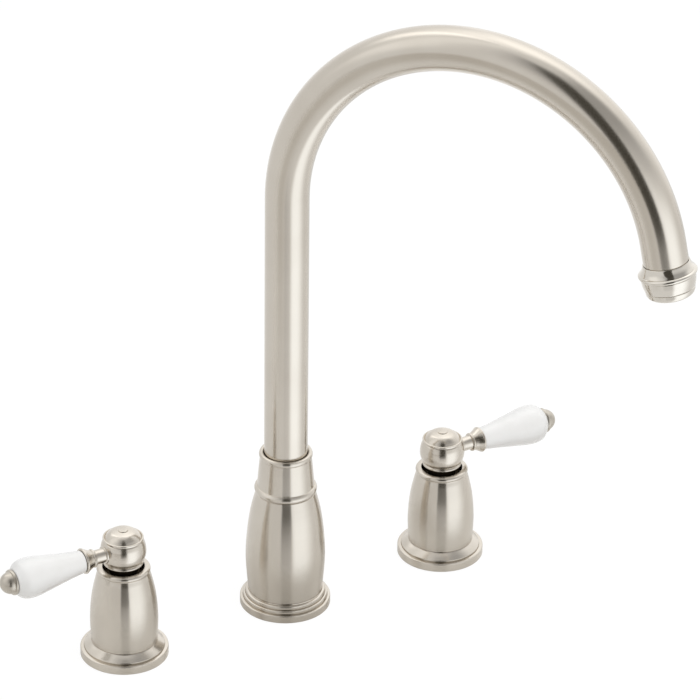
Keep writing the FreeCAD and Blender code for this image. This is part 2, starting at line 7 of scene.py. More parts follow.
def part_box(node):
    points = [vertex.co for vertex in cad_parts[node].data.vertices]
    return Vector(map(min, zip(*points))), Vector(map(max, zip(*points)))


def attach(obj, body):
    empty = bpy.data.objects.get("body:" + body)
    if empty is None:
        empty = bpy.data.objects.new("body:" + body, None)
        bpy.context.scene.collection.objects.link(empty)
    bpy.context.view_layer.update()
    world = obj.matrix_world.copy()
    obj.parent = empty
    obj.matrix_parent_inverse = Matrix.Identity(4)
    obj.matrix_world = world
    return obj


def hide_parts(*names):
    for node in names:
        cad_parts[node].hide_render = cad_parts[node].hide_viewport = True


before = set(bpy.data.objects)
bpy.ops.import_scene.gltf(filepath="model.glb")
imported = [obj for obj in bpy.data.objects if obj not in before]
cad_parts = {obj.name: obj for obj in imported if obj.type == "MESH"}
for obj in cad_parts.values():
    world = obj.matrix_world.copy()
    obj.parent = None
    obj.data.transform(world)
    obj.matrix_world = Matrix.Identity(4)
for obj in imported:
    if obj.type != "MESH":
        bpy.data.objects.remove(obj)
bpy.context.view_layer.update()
scene = bpy.context.scene
scene.view_settings.view_transform = "Standard"
mm = 0.001
print("frame loaded:", len(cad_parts), "nodes")


def feed(tree, node, inputs):
    for key, value in inputs.items():
        if isinstance(value, Wire):
            tree.links.new(value.socket, node.inputs[key])
        else:
            node.inputs[key].default_value = value


class Wire:  # a shader socket that can be used in sums
    def __init__(self, tree, socket=None):
        self.tree = tree
        self.socket = socket

    def node(self, kind, settings, inputs, output=0):
        made = self.tree.nodes.new(kind)
        for key, value in settings.items():
            setattr(made, key, value)
        feed(self.tree, made, inputs)
        return Wire(self.tree, made.outputs[output])

    def maths(self, operation, *values):
        return self.node("ShaderNodeMath", {"operation": operation}, dict(enumerate(values)))

    def __add__(self, other):
        return self.maths("ADD", self, other)

    def __sub__(self, other):
        return self.maths("SUBTRACT", self, other)

    def __mul__(self, other):
        return self.maths("MULTIPLY", self, other)

    def __truediv__(self, other):
        return self.maths("DIVIDE", self, other)

    def __rsub__(self, other):
        return self.maths("SUBTRACT", other, self)

    __radd__ = __add__
    __rmul__ = __mul__

    def between(self, low, high):  # 0 at low, 1 at high, eased
        settings = {"interpolation_type": "SMOOTHSTEP"}
        return self.node("ShaderNodeMapRange", settings, {"Value": self, "From Min": low, "From Max": high})

    def dot(self, direction):  # how far this vector goes along a direction
        inputs = {0: self, 1: direction}
        return self.node("ShaderNodeVectorMath", {"operation": "DOT_PRODUCT"}, inputs, "Value")

    def noise(self, scale, detail):
        return self.node("ShaderNodeTexNoise", {}, {"Vector": self, "Scale": scale, "Detail": detail})

    def stretched(self, scale):  # a scale for each axis, which draws a pattern out
        return self.node("ShaderNodeMapping", {}, {"Vector": self, "Scale": scale})

    def mixed(self, first, second):  # two colours, by this value
        first, second = (side if isinstance(side, Wire) else (*side, 1) for side in (first, second))
        return self.node("ShaderNodeMix", {"data_type": "RGBA"}, {0: self, 6: first, 7: second}, 2)


def newMaterial(name):
    material = bpy.data.materials.new(name)
    material.use_nodes = True
    tree = material.node_tree
    shader = next(node for node in tree.nodes if node.type == "BSDF_PRINCIPLED")
    place = Wire(tree).node("ShaderNodeTexCoord", {}, {}, "Object")
    return material, tree, shader, place


def bareMaterial(name):  # no shader yet
    material = bpy.data.materials.new(name)
    material.use_nodes = True
    tree = material.node_tree
    tree.nodes.clear()
    return material, tree, Wire(tree)


def bumped(height, strength, distance):
    inputs = {"Height": height, "Strength": strength, "Distance": distance}
    return height.node("ShaderNodeBump", {}, inputs, "Normal")


patches = (0.3, 0.7)  # where the paler and deeper patches of a finish end
evenLay = (1, 1, 1)
roundLay = (0.03, 0.03, 1)  # long fine lines around an upright piece
satin = {
    "cloud": (28, 3),
    "cloudDulling": 0.06,
    "grainDetail": 2,
    "grainDulling": 0.08,
    "bump": 0.25,
}


def satinMetal(name, pale, deep, roughness, grainSize, grainDepth, grainLay=evenLay):
    material, tree, shader, place = newMaterial(name)
    cloud = place.noise(*satin["cloud"])
    grain = place.stretched(grainLay).noise(1 / (grainSize * mm), satin["grainDetail"])
    dulling = (cloud - 0.5) * satin["cloudDulling"] + (grain - 0.5) * satin["grainDulling"]
    feed(tree, shader, {
        "Base Color": cloud.between(*patches).mixed(deep, pale),
        "Metallic": 1.0,
        "Roughness": roughness + dulling,
        "Normal": bumped(grain, satin["bump"], grainDepth * mm),
    })
    return material


def acrossTheGrain(material, amount):  # lines of the polishing wheel blur what is mirrored up and down
    shader = next(node for node in material.node_tree.nodes if node.type == "BSDF_PRINCIPLED")
    shader.inputs["Anisotropic"].default_value = amount
    shader.inputs["Anisotropic Rotation"].default_value = 0.25  # a quarter turn
    return material


glaze = {
    "cloud": (60, 2),
    "deep": (0.86, 0.855, 0.84),
    "pale": (0.89, 0.885, 0.875),
    "roughness": 0.14,
    "cloudDulling": 0.05,
    "bump": 0.04,
    "waveDepth": 0.2,
    "coat": 0.4,
    "coatRoughness": 0.05,
}


def glazedChina(name):
    material, tree, shader, place = newMaterial(name)
    cloud = place.noise(*glaze["cloud"])
    feed(tree, shader, {
        "Base Color": cloud.between(*patches).mixed(glaze["deep"], glaze["pale"]),
        "Roughness": glaze["roughness"] + (cloud - 0.5) * glaze["cloudDulling"],
        "Normal": bumped(cloud, glaze["bump"], glaze["waveDepth"] * mm),
        "Coat Weight": glaze["coat"],
        "Coat Roughness": glaze["coatRoughness"],
    })
    return material


dull = {
    "cloud": (40, 3),
    "grainDetail": 3,
    "grainDulling": 0.12,
    "bump": 0.3,
}


def dullSolid(name, pale, deep, roughness, grainSize, grainDepth):
    material, tree, shader, place = newMaterial(name)
    cloud = place.noise(*dull["cloud"])
    grain = place.noise(1 / (grainSize * mm), dull["grainDetail"])
    feed(tree, shader, {
        "Base Color": cloud.between(*patches).mixed(deep, pale),
        "Roughness": roughness + (grain - 0.5) * dull["grainDulling"],
        "Normal": bumped(grain, dull["bump"], grainDepth * mm),
    })
    return material


paleNickel = (0.645, 0.598, 0.53)
deepNickel = (0.612, 0.564, 0.496)
finishes = {  # roughness, then the grain's size and depth in millimetres
    "brushed_nickel": satinMetal("satinNickel", paleNickel, deepNickel, 0.21, 0.22, 0.012),
    "ringed_nickel": acrossTheGrain(
        satinMetal("ringedNickel", paleNickel, deepNickel, 0.24, 0.4, 0.03, roundLay), 0.9),
    # a darker, rougher copy of the satin nickel, used for the finials
    "turned_nickel": satinMetal("darkerRougherNickel", (0.56, 0.52, 0.455), (0.5, 0.46, 0.4), 0.3, 0.25, 0.03),
    "polished_nickel": satinMetal(
        "polishedNickel", (0.71, 0.67, 0.605), (0.68, 0.64, 0.575), 0.12, 0.3, 0.002),
    # painted shade: brass darkened to nearly black, so that the brass parts seen in the gap under each hub
    # show as shade
    "dark_brass": satinMetal("paintedShadeBrass", (0.13, 0.1, 0.065), (0.09, 0.07, 0.045), 0.5, 0.3, 0.03),
    "porcelain": glazedChina("glazedPorcelain"),
    "brass": satinMetal("machinedBrass", (0.72, 0.53, 0.25), (0.62, 0.44, 0.19), 0.33, 0.3, 0.03),
    "steel": satinMetal("stainlessSteel", (0.62, 0.61, 0.59), (0.55, 0.54, 0.52), 0.3, 0.3, 0.03),
    "rubber": dullSolid("blackRubber", (0.035, 0.035, 0.035), (0.022, 0.022, 0.023), 0.7, 0.4, 0.05),
    "white_plastic": dullSolid("whitePlastic", (0.82, 0.82, 0.8), (0.78, 0.78, 0.76), 0.42, 0.5, 0.02),
    "disc_ceramic": dullSolid("discCeramic", (0.83, 0.82, 0.78), (0.79, 0.78, 0.74), 0.3, 0.3, 0.01),
}
print("finishes made:", len(finishes))

bendShare = 0.48  # most of a side that a rounded corner takes
longCurve = 12  # steps between two points of a long curve


class Outline:  # radius and height in millimetres, turned about the height axis
    def __init__(self, radius, height):
        self.rows = [(radius, height, 0)]

    def line(self, radius, height, bend=0):  # bend rounds this corner
        self.rows.append((radius, height, bend))

    def curve(self, *points, steps=8):  # one smooth line through the points
        knots = [Vector(self.rows[-1][:2])] + [Vector(point) for point in points]
        knots = [knots[0] * 2 - knots[1]] + knots + [knots[-1] * 2 - knots[-2]]
        for a, b, c, d in zip(knots, knots[1:], knots[2:], knots[3:]):
            pace = (c - b).length
            leave = (c - a) * (pace / ((b - a).length + pace))
            arrive = (d - b) * (pace / ((d - c).length + pace))
            for step in range(1, steps + 1):
                t = step / steps
                spot = b * (2 * t**3 - 3 * t**2 + 1) + leave * (t**3 - 2 * t**2 + t)
                spot += c * (3 * t**2 - 2 * t**3) + arrive * (t**3 - t**2)
                self.rows.append((spot.x, spot.y, 0))

    def roll(self, radius, height, swell, steps=8):  # an arc that swells out of its chord
        start = Vector(self.rows[-1][:2])
        end = Vector((radius, height))
        outward = Vector(((end - start).y, -(end - start).x)).normalized() * swell
        for step in range(1, steps + 1):
            t = step / steps
            spot = start.lerp(end, t) + outward * (4 * t * (1 - t))
            self.rows.append((spot.x, spot.y, 0))

    def path(self, steps=4):
        spots = []
        for index, (radius, height, bend) in enumerate(self.rows):
            here = Vector((radius, height))
            if not bend:
                spots.append(here)
                continue
            back = Vector(self.rows[index - 1][:2]) - here
            ahead = Vector(self.rows[(index + 1) % len(self.rows)][:2]) - here
            start = here + back * min(bend / back.length, bendShare)
            end = here + ahead * min(bend / ahead.length, bendShare)
            for step in range(steps + 1):
                t = step / steps
                spots.append(start * (1 - t)**2 + here * (2 * t * (1 - t)) + end * t**2)
        return spots


def picked(piece):
    bpy.ops.object.select_all(action="DESELECT")
    piece.select_set(True)
    bpy.context.view_layer.objects.active = piece


def placed(piece, place, direction):
    turn = Vector(direction).to_track_quat("Z", "X").to_matrix().to_4x4()
    piece.matrix_world = Matrix.Translation(place) @ turn
    picked(piece)
    bpy.ops.object.transform_apply(location=True, rotation=True, scale=True)


def smoothed(piece, angle=32):
    picked(piece)
    bpy.ops.object.shade_smooth_by_angle(angle=math.radians(angle))


weld = 0.002 * mm  # points nearer than this are merged
shortest = 1e-7  # metres; a shorter step of an outline is left out


def turned(name, outline, place, direction=(0, 0, 1), steps=96):
    path = [spot * mm for spot in outline.path()]
    bpy.ops.object.select_all(action="DESELECT")
    bpy.ops.mesh.primitive_plane_add(size=mm)
    piece = bpy.context.object
    piece.name = name
    bpy.ops.object.mode_set(mode="EDIT")
    bpy.ops.mesh.merge(type="CENTER")
    bpy.ops.transform.translate(value=(path[0].x, 0, path[0].y))
    for here, there in zip(path, path[1:] + path[:1]):
        step = there - here
        if step.length > shortest:
            bpy.ops.mesh.extrude_region_move(TRANSFORM_OT_translate={"value": (step.x, 0, step.y)})
    bpy.ops.mesh.select_all(action="SELECT")
    bpy.ops.mesh.spin(steps=steps, angle=math.tau, center=(0, 0, 0), axis=(0, 0, 1))
    bpy.ops.mesh.select_all(action="SELECT")
    bpy.ops.mesh.remove_doubles(threshold=weld)
    bpy.ops.mesh.select_all(action="SELECT")
    bpy.ops.mesh.normals_make_consistent(inside=False)
    bpy.ops.object.mode_set(mode="OBJECT")
    placed(piece, place, direction)
    smoothed(piece)
    return piece


def finishPiece(piece, body, slot, *nodes, look=None):
    piece.data.materials.clear()
    piece.data.materials.append(finishes[look or slot])
    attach(piece, body)
    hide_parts(*nodes)
    print("piece", piece.name, len(piece.data.polygons), "faces")


def axisOf(node):  # foot of a piece that is turned about an upright axis
    low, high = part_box(node)
    return Vector(((low[0] + high[0]) / 2, (low[1] + high[1]) / 2, 0))


spoutAxis = axisOf("spout_base_flange")

# Swan neck
neck = {
    "radius": 12.3,
    "wall": 1.5,
    "foot": 60.0,
    "rise": 257.4,
    "riserRuns": 4,
    "bendRadius": 111.0,
    "bendAngle": 168.5,
    "tail": 10.3,
    "facing": -57.3,
    "sides": 96,
    "bendSteps": 72,
}

facingTurn = math.radians(neck["facing"])
facing = Vector((math.cos(facingTurn), math.sin(facingTurn), 0))
up = Vector((0, 0, 1))
bend = math.radians(neck["bendAngle"])
archMiddle = spoutAxis + (facing * neck["bendRadius"] + up * neck["rise"]) * mm
tailFacing = facing * math.sin(bend) + up * math.cos(bend)
archEnd = archMiddle + (up * math.sin(bend) - facing * math.cos(bend)) * neck["bendRadius"] * mm
outletPlace = archEnd + tailFacing * neck["tail"] * mm


def makeNeck():
    bpy.ops.object.select_all(action="DESELECT")
    foot = spoutAxis + up * neck["foot"] * mm
    bpy.ops.mesh.primitive_circle_add(vertices=neck["sides"], radius=neck["radius"] * mm, location=foot)
    piece = bpy.context.object
    piece.name = "swanNeck"
    bpy.ops.object.mode_set(mode="EDIT")
    bpy.ops.mesh.select_all(action="SELECT")
    run = up * (neck["rise"] - neck["foot"]) * mm / neck["riserRuns"]
    for step in range(neck["riserRuns"]):
        bpy.ops.mesh.extrude_region_move(TRANSFORM_OT_translate={"value": run})
    bpy.ops.mesh.spin(steps=neck["bendSteps"], angle=-bend, center=archMiddle, axis=up.cross(facing))
    bpy.ops.mesh.extrude_region_move(TRANSFORM_OT_translate={"value": tailFacing * neck["tail"] * mm})
    bpy.ops.mesh.select_all(action="SELECT")
    bpy.ops.mesh.remove_doubles(threshold=weld)
    bpy.ops.mesh.normals_make_consistent(inside=False)
    bpy.ops.object.mode_set(mode="OBJECT")
    wall = piece.modifiers.new("wall", "SOLIDIFY")
    wall.thickness = neck["wall"] * mm
    wall.offset = -1
    bpy.ops.object.modifier_apply(modifier="wall")
    bpy.ops.object.transform_apply(location=True, rotation=True, scale=True)
    smoothed(piece)
    finishPiece(piece, "spout", "brushed_nickel", "spout_tube")


makeNeck()

# Collar that the neck stands in
collar = {
    "foot": 72.9,
    "sleeve": 5.5,
    "sleeveWall": 1.3,
    "bore": 12.7,
    "seat": 16.8,
    "beadRadius": 17.8,
    "beadTop": 76.9,
    "taperFoot": 16.2,
    "taperWaist": (15.3, 87.7),
    "taperTop": 14.6,
    "lipFoot": 95.2,
    "lipRadius": 15.15,
    "top": 98.4,
}


def makeCollar():
    c = collar
    shape = Outline(c["bore"], c["foot"] - c["sleeve"])
    shape.line(c["bore"] + c["sleeveWall"], c["foot"] - c["sleeve"])
    shape.line(c["bore"] + c["sleeveWall"], c["foot"])
    shape.line(c["seat"], c["foot"])
    shape.roll(c["seat"] - 0.1, c["beadTop"], c["beadRadius"] - c["seat"])
    shape.line(c["taperFoot"], c["beadTop"] + 0.1, 0.25)
    shape.curve(c["taperWaist"], (c["taperTop"], c["lipFoot"] - 0.2))
    shape.line(c["taperTop"] + 0.15, c["lipFoot"])
    shape.roll(c["taperTop"] + 0.05, c["top"] - 0.4, c["lipRadius"] - c["taperTop"] - 0.1)
    shape.line(c["bore"] + 1.0, c["top"], 0.4)
    shape.line(c["bore"], c["top"] - 0.5, 0.3)
    piece = turned("neckCollar", shape, spoutAxis)
    finishPiece(piece, "base", "brushed_nickel", "spout_collar", look="ringed_nickel")


makeCollar()

# Swelling foot of the spout
foot = {
    "low": 9.6,
    "root": 21.2,
    "belly": (22.6, 30.5),
    "shoulder": (21.8, 46.5),
    "throat": (19.9, 60.5),
    "neck": 17.0,
    "top": 72.9,
    "well": 13.3,
    "wellTop": 24.5,
    "journal": 10.05,
    "journalTop": 58.5,
    "bore": 12.7,
    "socket": 14.2,
    "socketDepth": 6.0,
    "screwLevel": 41.5,
    "screwHole": 2.6,
    "screwSides": 32,
    "sides": 112,
}


def makeFoot():
    f = foot
    shape = Outline(f["well"], f["low"])
    shape.line(f["root"] - 0.3, f["low"])
    shape.line(f["root"], f["low"] + 0.3)
    shape.curve(f["belly"], f["shoulder"], f["throat"], (f["neck"], f["top"] - 0.3), steps=longCurve)
    shape.line(f["neck"] - 0.4, f["top"])
    shape.line(f["socket"], f["top"])
    shape.line(f["socket"], f["top"] - f["socketDepth"])
    shape.line(f["bore"], f["top"] - f["socketDepth"])
    shape.line(f["bore"], f["journalTop"])
    shape.line(f["journal"], f["journalTop"])
    shape.line(f["journal"], f["wellTop"])
    shape.line(f["well"], f["wellTop"])
    piece = turned("spoutFoot", shape, spoutAxis, steps=f["sides"])
    bpy.ops.object.select_all(action="DESELECT")
    reach = f["belly"][0]
    place = spoutAxis + Vector((0, reach, f["screwLevel"])) * mm
    bpy.ops.mesh.primitive_cylinder_add(
        vertices=f["screwSides"],
        radius=f["screwHole"] * mm,
        depth=reach * mm,
        location=place,
        rotation=(math.pi / 2, 0, 0),
    )
    drill = bpy.context.object
    bpy.context.view_layer.objects.active = piece
    hole = piece.modifiers.new("hole", "BOOLEAN")
    hole.object = drill
    hole.operation = "DIFFERENCE"
    bpy.ops.object.modifier_apply(modifier="hole")
    bpy.data.objects.remove(drill)
    smoothed(piece)
    finishPiece(piece, "base", "brushed_nickel", "spout_body", look="ringed_nickel")


makeFoot()

# Stepped ring under the spout
spoutRing = {
    "wall": 25.8,
    "wallTop": 4.5,
    "middle": 24.1,
    "middleTop": 6.7,
    "upper": 22.8,
    "upperTop": 8.9,
    "top": 9.6,
    "seat": 21.2,
    "bore": 13.7,
    "recess": (22.6, 2.1),
}


def makeSpoutRing():
    s = spoutRing
    shape = Outline(s["recess"][0], 0.0)
    shape.line(s["wall"] - 0.2, 0.0)
    shape.line(s["wall"], 0.25)
    shape.line(s["wall"], s["wallTop"], 0.6)
    shape.line(s["middle"] + 0.15, s["wallTop"] + 0.1)
    shape.line(s["middle"], s["wallTop"] - 0.1)
    shape.line(s["middle"], s["middleTop"], 0.7)
    shape.line(s["upper"] + 0.15, s["middleTop"] + 0.1)
    shape.line(s["upper"], s["middleTop"] - 0.1)
    shape.line(s["upper"], s["upperTop"], 0.8)
    shape.line(s["seat"] + 0.15, s["upperTop"] + 0.3)
    shape.line(s["seat"], s["top"])
    shape.line(s["bore"], s["top"])
    shape.line(s["bore"], s["recess"][1])
    shape.line(*s["recess"])
    piece = turned("spoutRing", shape, spoutAxis)
    finishPiece(piece, "base", "brushed_nickel", "spout_base_flange")


makeSpoutRing()

# Outlet cup and its screwed ring, measured along the neck's end
outlet = {
    "waterway": 9.0,
    "spigot": 10.7,
    "spigotLength": 8.0,
    "shoulder": 11.6,
    "seamGap": 0.35,
    "seam": 12.7,
    "flareWaist": (13.6, 3.1),
    "flare": (14.9, 5.0),
    "beadRadius": 16.1,
    "beadEnd": 8.1,
    "cupTop": 15.0,
    "cupWaist": (14.65, 11.55),
    "cupEnd": (13.9, 15.0),
    "bore": 11.45,
    "boreStart": 7.5,
    "ringThread": 8.6,
    "ringBore": 9.6,
    "ringRadius": 13.5,
    "ringStart": 15.25,
    "ringStep": (13.05, 17.3),
    "ringBrow": (12.7, 18.4),
    "ringEnd": 19.3,
    "ringMouth": 11.6,
    "throat": 8.7,
    "throatDepth": 0.9,
}


def makeOutlet():
    o = outlet
    flareRadius, flareEnd = o["flare"]
    cupRadius, cupEnd = o["cupEnd"]
    shape = Outline(o["waterway"], -o["spigotLength"])
    shape.line(o["spigot"], -o["spigotLength"])
    shape.line(o["spigot"], 0.0)
    shape.line(o["shoulder"], 0.0)
    shape.line(o["shoulder"], o["seamGap"])
    shape.line(o["seam"] - 0.15, o["seamGap"])
    shape.line(o["seam"], o["seamGap"] + 0.15)
    shape.curve(o["flareWaist"], o["flare"])
    shape.line(flareRadius - 0.1, flareEnd + 0.2)
    shape.roll(flareRadius, o["beadEnd"] - 0.2, o["beadRadius"] - flareRadius)
    shape.line(o["cupTop"], o["beadEnd"], 0.15)
    shape.curve(o["cupWaist"], (cupRadius, cupEnd - 0.3))
    shape.line(cupRadius - 0.3, cupEnd)
    shape.line(o["bore"], cupEnd)
    shape.line(o["bore"], o["boreStart"])
    shape.line(o["waterway"], o["boreStart"])
    piece = turned("outletCup", shape, outletPlace, tailFacing)
    finishPiece(piece, "spout", "polished_nickel", "outlet_nozzle")
    shape = Outline(o["ringBore"], o["ringThread"])
    shape.line(o["bore"] - 0.05, o["ringThread"])
    shape.line(o["bore"] - 0.05, o["ringStart"])
    shape.line(o["ringRadius"] - 0.2, o["ringStart"])
    shape.line(o["ringRadius"], o["ringStart"] + 0.2)
    shape.line(o["ringRadius"] - 0.1, o["ringStep"][1] - 0.2)
    shape.line(*o["ringStep"])
    shape.curve(o["ringBrow"], (o["ringMouth"], o["ringEnd"]))
    shape.line(o["throat"], o["ringEnd"], 0.2)
    shape.line(o["throat"], o["ringEnd"] - o["throatDepth"])
    shape.line(o["ringBore"], o["ringEnd"] - o["throatDepth"])
    piece = turned("aeratorRing", shape, outletPlace, tailFacing)
    finishPiece(piece, "spout", "polished_nickel", "aerator_shell")


makeOutlet()
print("spout modelled")

# Valve foot ring
valveRing = {
    "wall": 24.8,
    "wallTop": 5.0,
    "step": 22.6,
    "stepTop": 6.0,
    "slope": (20.5, 7.75),
    "seat": 18.6,
    "top": 9.3,
    "bore": 13.7,
    "recess": (22.6, 2.1),
}


def makeValveRing(hand, axis):
    v = valveRing
    shape = Outline(v["recess"][0], 0.0)
    shape.line(v["wall"] - 0.2, 0.0)
    shape.line(v["wall"], 0.25)
    shape.line(v["wall"], v["wallTop"], 0.7)
    shape.line(v["step"] + 0.15, v["wallTop"] + 0.1)
    shape.line(v["step"], v["wallTop"] - 0.1)
    shape.line(v["step"], v["stepTop"], 0.3)
    shape.curve(v["slope"], (v["seat"] + 0.15, v["top"] - 0.2))
    shape.line(v["seat"], v["top"])
    shape.line(v["bore"], v["top"])
    shape.line(v["bore"], v["recess"][1])
    shape.line(*v["recess"])
    piece = turned(hand + "FootRing", shape, axis)
    finishPiece(piece, "base", "brushed_nickel", hand + "_base_flange")


# Bell over the valve
bell = {
    "low": 9.3,
    "root": 18.6,
    "belly": (19.1, 23.6),
    "shoulder": (18.0, 38.1),
    "throat": (15.5, 50.1),
    "neck": 14.4,
    "lipFoot": 53.4,
    "lipRadius": 14.95,
    "top": 56.3,
    "mouth": 11.8,
    "mouthDepth": 1.2,
    "wall": 2.1,
    "straight": 20.0,
}


def makeBell(hand, axis):
    b = bell
    shape = Outline(b["root"] - b["wall"], b["low"])
    shape.line(b["root"] - 0.25, b["low"])
    shape.line(b["root"], b["low"] + 0.3)
    shape.curve(b["belly"], b["shoulder"], b["throat"], (b["neck"], b["lipFoot"] - 0.15), steps=longCurve)
    shape.line(b["neck"] + 0.05, b["lipFoot"] + 0.1)
    shape.roll(b["lipRadius"] - 1.0, b["top"], b["lipRadius"] - b["neck"] + 0.35)
    shape.line(b["mouth"], b["top"], 0.3)
    shape.line(b["mouth"], b["top"] - b["mouthDepth"])
    shape.line(b["neck"] - b["wall"], b["lipFoot"])
    shape.line(b["throat"][0] - b["wall"], b["throat"][1])
    shape.line(b["shoulder"][0] - b["wall"], b["shoulder"][1])
    shape.line(b["root"] - b["wall"], b["low"] + b["straight"])
    piece = turned(hand + "Bell", shape, axis)
    finishPiece(piece, "base", "brushed_nickel", hand + "_bell", look="ringed_nickel")


# Hub and cap of the lever
hub = {
    "low": 58.2,
    "lipRadius": 11.3,
    "lipTop": 60.0,
    "root": 10.8,
    "cheek": (12.25, 62.8),
    "belly": (12.85, 66.2),
    "brow": (12.35, 70.4),
    "shoulder": 11.3,
    "top": 73.5,
    "capTop": 75.0,
    "groove": 10.3,
    "capCheek": (9.0, 76.45),
    "capBrow": (6.525, 78.35),
    "dome": 79.2,
    "button": 2.75,
    "buttonTop": 79.5,
}


def makeHub(hand, axis, body):
    h = hub
    shape = Outline(0, h["low"])
    shape.line(h["lipRadius"] - 0.6, h["low"])
    shape.roll(h["lipRadius"] - 0.6, h["lipTop"], 0.6)
    shape.line(h["root"], h["lipTop"] + 0.1)
    shape.curve(h["cheek"], h["belly"], h["brow"], (h["shoulder"], h["top"] - 0.35))
    shape.line(h["shoulder"] - 0.4, h["top"])
    shape.line(0, h["top"])
    piece = turned(hand + "Hub", shape, axis)
    finishPiece(piece, body, "brushed_nickel", hand + "_handle_hub")
    rim = h["shoulder"] + 0.15
    shape = Outline(0, h["top"] + 0.1)
    shape.line(rim - 0.5, h["top"] + 0.1)
    shape.line(rim, h["top"] + 0.45)
    shape.line(rim, h["capTop"], 0.45)
    shape.line(h["groove"] + 0.35, h["capTop"] + 0.1, 0.15)
    shape.line(h["groove"] + 0.1, h["capTop"] - 0.35)
    shape.line(h["groove"] - 0.15, h["capTop"] - 0.15)
    shape.curve(h["capCheek"], h["capBrow"], (h["button"] + 0.15, h["dome"] - 0.05))
    shape.line(h["button"], h["dome"] - 0.1)
    shape.line(h["button"], h["buttonTop"], 0.15)
    shape.line(0, h["buttonTop"])
    piece = turned(hand + "Cap", shape, axis)
    finishPiece(piece, body, "brushed_nickel", hand + "_hub_cap")


# Lever, measured outwards from the hub's axis
lever = {
    "level": 66.8,
    "turn": -1.0,
    "foot": 8.6,
    "footRadius": 5.0,
    "footEnd": 12.7,
    "neckRadius": 4.1,
    "neckEnd": 18.7,
    "stepRadius": 5.3,
    "stepEnd": 20.1,
    "cupWaist": (5.85, 22.5),
    "cupRadius": 7.3,
    "cupReach": 24.6,
    "stemEnd": 26.0,
    "gripStart": 26.2,
    "gripFoot": 6.3,
    "gripBody": ((7.7, 36.0), (9.9, 48.5)),
    "gripSwell": (11.4, 58.6),
    "gripShoulder": (10.6, 64.6),
    "gripTip": 7.5,
    "gripEnd": 68.7,
    "finialRadius": 7.3,
    "finialRim": 1.7,
    "finialDome": 6.2,
    "finialEnd": 76.8,
    "finialSteps": 12,
    "seam": 0.2,
    "sides": 72,
}


def makeLever(hand, side, axis, body):
    p = lever
    turn = math.radians(p["turn"])
    outward = Vector((side * math.cos(turn), side * math.sin(turn), 0))
    middle = axis + up * p["level"] * mm
    shape = Outline(0, p["foot"])
    shape.line(p["footRadius"], p["foot"])
    shape.line(p["footRadius"], p["footEnd"], 0.4)
    shape.line(p["neckRadius"], p["footEnd"] + 0.1, 0.1)
    shape.line(p["neckRadius"], p["neckEnd"], 0.3)
    shape.line(p["stepRadius"] - 0.3, p["neckEnd"] + 0.1, 0.1)
    shape.roll(p["stepRadius"] - 0.3, p["stepEnd"], 0.35)
    shape.line(p["stepRadius"] - 0.4, p["stepEnd"] + 0.15)
    shape.curve(p["cupWaist"], (p["cupRadius"] - 0.3, p["cupReach"]))
    shape.roll(p["cupRadius"] - 0.35, p["stemEnd"], 0.4)
    shape.line(0, p["stemEnd"])
    piece = turned(hand + "Stem", shape, middle, outward, p["sides"])
    finishPiece(piece, body, "brushed_nickel", hand + "_lever_stem")
    shape = Outline(0, p["gripStart"])
    shape.line(p["gripFoot"], p["gripStart"], 0.3)
    gripTip = (p["gripTip"], p["gripEnd"] - 0.2)
    shape.curve(*p["gripBody"], p["gripSwell"], p["gripShoulder"], gripTip, steps=longCurve)
    shape.line(p["gripTip"] - 0.4, p["gripEnd"])
    shape.line(0, p["gripEnd"])
    piece = turned(hand + "Grip", shape, middle, outward)
    finishPiece(piece, body, "porcelain", hand + "_grip", hand + "_grip_washers")
    start = p["gripEnd"] + p["seam"]
    rim = start + p["finialRim"]
    spring = rim + 0.1
    dome = p["finialDome"]
    shape = Outline(0, start)
    shape.line(p["finialRadius"] - 0.4, start)
    shape.roll(p["finialRadius"] - 0.3, rim, 0.35)
    shape.line(dome + 0.1, spring, 0.1)
    for step in range(1, p["finialSteps"] + 1):  # quarter of an ellipse
        climb = math.pi / 2 * step / p["finialSteps"]
        shape.line(dome * math.cos(climb), spring + (p["finialEnd"] - spring) * math.sin(climb))
    piece = turned(hand + "Finial", shape, middle, outward, p["sides"])
    finishPiece(piece, body, "brushed_nickel", hand + "_finial", look="turned_nickel")


for hand, side in (("left", -1), ("right", 1)):
    axis = axisOf(hand + "_base_flange")
    handle = hand + "_handle"
    makeValveRing(hand, axis)
    makeBell(hand, axis)
    makeHub(hand, axis, handle)
    makeLever(hand, side, axis, handle)
print("valves modelled")

# Solids that stay as they are
# the brass parts in the gap under each hub take the brass painted dark as shade
shadedInGap = {"cartridge_body": "dark_brass", "spindle": "dark_brass", "valve_body": "dark_brass"}
for name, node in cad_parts.items():
    kind = name.split("_", 1)[1]
    for held in node.material_slots:
        key = held.material.name.split(".")[0] if held.material else "brass"
        held.material = finishes[shadedInGap.get(kind, key if key in finishes else "brass")]
print("kept solids finished")

# Camera, in degrees and millimetres
view = {
    "turn": -32.80,
    "rise": 28.62,
    "roll": 0.713,
    "distance": 2744.0,
    "target": (42.22, 0.24, 150.61),
    "lens": 251.43,
    "sensor": 36.0,
    "farthest": 20000.0,
}

turn = math.radians(view["turn"])
rise = math.radians(view["rise"])
roll = math.radians(view["roll"])
towards = Vector((math.sin(turn) * math.cos(rise), -math.cos(turn) * math.cos(rise), math.sin(rise)))
level = Vector((math.cos(turn), math.sin(turn), 0))
upright = towards.cross(level)
frontDirection = Vector((math.sin(turn), -math.cos(turn), 0))


def makeCamera():
    bpy.ops.object.select_all(action="DESELECT")
    spot = Vector(view["target"]) * mm + towards * view["distance"] * mm
    sideways = level * math.cos(roll) + upright * math.sin(roll)
    upwards = upright * math.cos(roll) - level * math.sin(roll)
    aim = Matrix((sideways, upwards, towards)).transposed().to_4x4()
    bpy.ops.object.camera_add()
    camera = bpy.context.object
    camera.matrix_world = Matrix.Translation(spot) @ aim
    camera.data.lens = view["lens"]
    camera.data.sensor_width = view["sensor"]
    camera.data.clip_end = view["farthest"] * mm
    scene.camera = camera


makeCamera()

